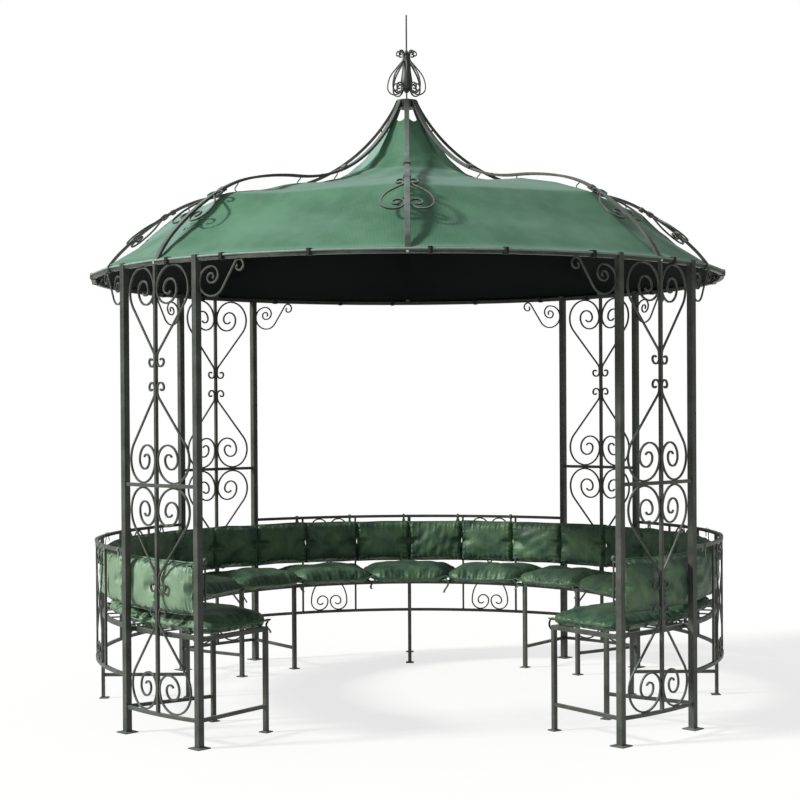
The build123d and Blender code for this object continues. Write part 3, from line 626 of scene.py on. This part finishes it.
def gathers(place, half, size, seed):
    """Gathers along a sewn edge: pleats of about the given size that run in from each rim and soon fade.

    Each is the sum of two sine waves along the rim, the second 0.63 as long as the first, and dies away
    from the rim as an exponential over 0.7 of the size. The 6 mm beside the rim are eased to nothing.
    """
    draw = np.random.default_rng(seed).uniform(0, 6, 4)
    from_side, from_end = from_rims(place, half)
    wide, tall = (2 * np.pi / size * half * place[:, :2]).T
    along = np.sin(wide + draw[0]) + 0.7 * np.sin(wide / 0.63 + draw[2])
    across = np.sin(tall + draw[1]) + 0.7 * np.sin(tall / 0.63 + draw[3])
    pleat = along * np.exp(-from_end / (0.7 * size)) + across * np.exp(-from_side / (0.7 * size))
    return pleat * np.minimum(1, np.minimum(from_side, from_end) / 0.006)


# The ring bench starts and ends this many degrees beside the middle of the doorway.
bench_start, seat_count = 35.3, 13
bench_turn = 360 - 2 * bench_start
seat_turn = bench_turn / seat_count
# Half the width of a pad at its inner and its outer edge, its depth, and the circle of its middle.
seat_near, seat_far, seat_deep, seat_circle = 0.212, 0.2945, 0.420, 1.301
rail_inner, rim_height, slat_top = 1.139, 0.513, 0.4885
flat_thick, seat_edge, seat_piping, piping_sides = 0.06, 0.080, 0.0038, 6
seat_grid = (80, 54)
# The bag is blown up over these frames. No point moves more than the cap, nor past its side by more than
# the slack, so that the pads touch but don't run into each other.
pressure, frames, seat_cap, seat_slack = 3.0, 20, 0.075, 0.001
points, seat_faces, seat_rim, seat_place = bag(
    seat_near, seat_far, seat_deep, flat_thick, *seat_grid, seat_edge)
held = np.zeros(len(points), bool)
held[seat_rim] = True
seat_form = filled(points, seat_faces, held, pressure, frames, seat_cap)
side = seat_near + (seat_far - seat_near) * (seat_form[:, 1] / seat_deep + 0.5)
seat_form[:, 0] = np.clip(seat_form[:, 0], -side - seat_slack, side + seat_slack)
seat_form[:, 2] /= seat_form[:, 2].max()
# Each layer of a pad is its edge's quarter round, the blown form, the gathers and two lots of lumps: small
# ones that fade towards the rim, and broad ones that lift or lower the whole pad.
round_tall, crown_tall, pleat_tall, pleat_size = 0.017, 0.050, 0.0042, 0.038
lump_size, lump_tall, swell_size, swell_tall = 0.20, 0.014, 0.30, 0.005
lump_fade, corner_lift, droop, droop_wide = 0.08, 0.010, 0.012, 0.045
# Gathers and lumps take the pad as a rectangle with these half sizes.
seat_halves = np.array([0.25, 0.21])
fade = np.minimum(1, from_rims(seat_place, seat_halves).min(0) / lump_fade)
for n in range(seat_count):
    form = seat_form.copy()
    faces = seat_faces
    # Every other pad is the mirror image, so that neighbours differ.
    if n % 2:
        form[:, 0] *= -1
        faces = seat_faces[:, ::-1]
    crown = crown_tall * (0.88 + 0.24 * np.random.default_rng(900 + n).uniform())
    rise = (round_tall * seat_place[:, 2] + crown * np.abs(form[:, 2])
            + pleat_tall * gathers(seat_place, seat_halves, pleat_size, n)
            + ripple(form, 40 + n, lump_size, lump_tall) * fade)
    swell = ripple(form, 80 + n, swell_size, swell_tall)
    form[:, 2] = np.maximum(rim_height + np.sign(form[:, 2]) * rise + swell, slat_top)
    # Each corner stands up a little from the frame.
    form[:, 2] += corner_lift * np.abs(seat_place[:, 0] * seat_place[:, 1]) ** 8
    form[:, 1] += seat_circle
    # The inner edge stands out past the seat rail and droops over it.
    out = np.clip((rail_inner - np.hypot(form[:, 0], form[:, 1])) / droop_wide, 0, 1)
    form[:, 2] -= droop * out * out * (3 - 2 * out)
    piping = tube(form[seat_rim], seat_piping, piping_sides, closed=True)
    points, faces = joined([(form, faces), piping])
    pad = put(f"seat_pad_{n + 1}", stood(points, bench_start + (n + 0.5) * seat_turn), faces, satin)
    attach(pad, "root")
    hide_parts("seat_cushions")

# Back cushions. Twenty-four pads of the same satin, tied up side by side inside the back rail and the
# posts. A tie draws each side in at half height, which leaves a crease that fades towards the middle.
back_half, back_tall, back_circle, back_height = 0.1603, 0.236, 1.535, 0.6915
back_count, back_edge, back_piping, back_cap, back_slack = 24, 0.024, 0.0034, 0.06, 0.0008
back_turn = bench_turn / back_count
back_grid = (72, 44)
points, back_faces, back_rim, back_place = bag(
    back_half, back_half, back_tall, flat_thick, *back_grid, back_edge)
held = np.zeros(len(points), bool)
held[back_rim] = True
# The tie holds this patch of each side in, to a share of its thickness, while the bag is blown up.
tie_patch_half, tie_patch_from, tie_patch_thick = 0.035, 0.72, 0.35
drawn = (np.abs(back_place[:, 1]) < tie_patch_half) & (np.abs(back_place[:, 0]) > tie_patch_from)
points[drawn, 2] *= tie_patch_thick
back_form = filled(points, back_faces, held | drawn, pressure, frames, back_cap)
back_form[:, 0] = np.clip(back_form[:, 0], -back_half - back_slack, back_half + back_slack)
back_form[:, 2] /= np.abs(back_form[:, 2]).max()
# The blown form shapes the edge. Over about 30 mm a smooth dome takes its place, as a fibre filling gives:
# the root of the product of one minus the square of each of the two plan parameters.
back_halves = np.array([0.16, 0.12])
back_gap = from_rims(back_place, back_halves).min(0)
calm_from = 0.030
calm = 1 - np.exp(-(back_gap / calm_from) ** 2)
dome_form = ((1 - back_place[:, 0] ** 2) * (1 - back_place[:, 1] ** 2)) ** 0.5
back_form[:, :2] += calm[:, None] * (points[:, :2] - back_form[:, :2])
back_form[:, 2] = np.sign(back_form[:, 2]) * ((1 - calm) * np.abs(back_form[:, 2]) + calm * dome_form)
# The tie's crease fades upwards and downwards as a hump, and evenly from the side to halfway in.
crease_tall = 0.17
tied_in = np.clip(2 * np.abs(back_place[:, 0]) - 1, 0, 1) * np.exp(-(back_place[:, 1] / crease_tall) ** 2)
# The same parts as in a seat pad. A back pad also sags or rises along its width, and its hind face stays
# inside the uprights.
round_tall, crown_tall, pleat_tall, pleat_size = 0.016, 0.030, 0.0034, 0.032
lump_size, lump_tall, swell_size, swell_tall, sag_size, sag_tall = 0.16, 0.010, 0.3, 0.004, 0.4, 0.006
tie_thins, tie_narrows, hind_most, front_most, doorway_squeeze = 0.8, 0.026, -0.0465, 0.0500, 0.65
lump_fade = 0.07
fade = np.minimum(1, back_gap / lump_fade)
for n in range(back_count):
    form = back_form.copy()
    rise = ((round_tall * back_place[:, 2] + crown_tall * np.abs(form[:, 2])) * (1 - tie_thins * tied_in)
            + pleat_tall * gathers(back_place, back_halves, pleat_size, 200 + n)
            + ripple(form, 240 + n, lump_size, lump_tall) * fade)
    swell = ripple(form, 280 + n, swell_size, swell_tall)
    form[:, 2] = np.clip(np.sign(form[:, 2]) * rise + swell, hind_most, front_most)
    form[:, 0] *= 1 - tie_narrows * tied_in
    form[:, 1] += ripple(form, 320 + n, sag_size, sag_tall)
    # The two pads at the doorway are pushed together behind the corner post.
    if n in (0, back_count - 1):
        outer = form[:, 0] > 0 if n == 0 else form[:, 0] < 0
        form[outer, 0] *= doorway_squeeze
    piping = tube(form[back_rim], back_piping, piping_sides, closed=True)
    points, faces = joined([(form, back_faces), piping])
    at = bench_start + (n + 0.5) * back_turn - np.degrees(points[:, 0] / back_circle)
    bent = plan(at, back_circle - points[:, 2], back_height + points[:, 1])
    pad = put(f"back_pad_{n + 1}", bent, faces, satin)
    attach(pad, "root")
    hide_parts("back_cushions")

# Rail ends. Beside each doorway post the back rail ends in a round rod that turns down behind the pads,
# with a ball forged on its top.
rod_circle, rod_low, rod_high, rod_radius = 1.476, 0.600, 0.824, 0.0045
ball_radius, ball_height, arm_outer, arm_height, beside_end = 0.012, 0.812, 1.583, 0.795, 2.9
height = np.linspace(rod_low, rod_high, 26)
# The rod swells to the ball by a half circle.
swell = np.sqrt(np.clip(1 - ((height - ball_height) / ball_radius) ** 2, 0, 1))
rod = np.column_stack([np.zeros_like(height), np.full_like(height, rod_circle), height])
reach = np.linspace(rod_circle, arm_outer, 9)
arm = np.column_stack([np.zeros_like(reach), reach, np.full_like(reach, arm_height)])
rod_sides, arm_sides = 10, 8
points, faces = joined([tube(rod, rod_radius + (ball_radius - rod_radius) * swell, rod_sides),
                        tube(arm, rod_radius, arm_sides)])
end_angles = (bench_start + beside_end, 360 - bench_start - beside_end)
keeper = put("rail_ends", *joined([(stood(points, at), faces) for at in end_angles]), iron)
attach(keeper, "root")

# Ties. Green polyester tape, 12 mm wide. In the three bays one goes round the back rail near each joint of
# the back cushions, and one is knotted at each inner corner of a seat cushion and hangs before its rail.
def ribbon(path, across, thick):
    """A flat tape along a path: half its width to each side, and its thickness through.

    The thickness goes along the cross product of the path's direction and the width.
    """
    way = np.gradient(path, axis=0)
    way /= np.linalg.norm(way, axis=1, keepdims=True)
    out = np.cross(way, across)
    out *= thick / np.linalg.norm(out, axis=1, keepdims=True)
    ring = np.stack([path - across, path + across, path + across + out, path - across + out], 1)
    number = np.pad(np.arange(len(path) * 4).reshape(-1, 4), ((0, 0), (0, 1)), mode="wrap")
    faces = quads(number.T).tolist() + [number[0, :-1][::-1].tolist(), number[-1, :-1].tolist()]
    return ring.reshape(-1, 3), faces


tape_half, tape_thick = 0.006, 0.0012
tape_across = np.array([tape_half, 0, 0])
# The loop is an ellipse round the rail's bar, open at the bottom, where its two ends hang.
rail_circle, loop_height, loop_out, loop_up = 1.5907, 0.8385, 0.0115, 0.0125
turn = np.linspace(-0.35 * np.pi, 1.35 * np.pi, 30)
loop = np.column_stack([np.zeros_like(turn), rail_circle + loop_out * np.cos(turn),
                        loop_height + loop_up * np.sin(turn)])
fall = np.linspace(0, 1, 9)[1:]
long_drop, drop_spread, long_lean, long_out = 0.045, 0.018, 0.010, 0.006
short_drop, short_in, short_share = 0.020, 0.003, 0.6
beside_joint, bay_half = 1.2, 34
bay_middles = {"right": 90, "back": 180, "left": 270}
for n in range(back_count - 1):
    # It sits 33 mm beside the joint, clear of the uprights, and only where a bay has a rail.
    at = bench_start + (n + 1) * back_turn + beside_joint
    bay = min(bay_middles, key=lambda name: abs(at - bay_middles[name]))
    if abs(at - bay_middles[bay]) > bay_half:
        continue
    # A long end hangs outside the rail and a short one inside, leaning and dropping a little differently.
    lean = long_lean * math.sin(2.7 * n)
    drop = long_drop + drop_spread * math.sin(1.9 * n)
    long_end = loop[0] + np.outer(fall, (lean, long_out, -drop))
    short_end = loop[-1] + np.outer(fall, (-short_share * lean, -short_in, -short_drop))
    path = np.concatenate([long_end[::-1], loop, short_end])
    points, faces = ribbon(path, tape_across, tape_thick)
    tape = put(f"rail_tie_{n + 1}", stood(points, at), faces, satin, smooth=False)
    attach(tape, "root")

knot_circle, knot_height, inside_end = 1.106, 0.505, 0.8
knot_drop, sway, stand_off = 0.070, 0.012, 0.010
fall = np.linspace(0, 1, 16)
for n in range(seat_count + 1):
    # The first and the last are moved in a little from the bench's ends.
    at = bench_start + min(max(n * seat_turn, inside_end), bench_turn - inside_end)
    drop = knot_drop + drop_spread * math.sin(2.3 * n)
    path = np.column_stack([sway * np.sin(5 * fall + n), knot_circle + stand_off * np.sin(3 * fall),
                            knot_height - drop * fall])
    points, faces = ribbon(path, tape_across, tape_thick)
    tape = put(f"seat_tie_{n + 1}", stood(points, at), faces, satin, smooth=False)
    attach(tape, "root")

bpy.context.view_layer.update()
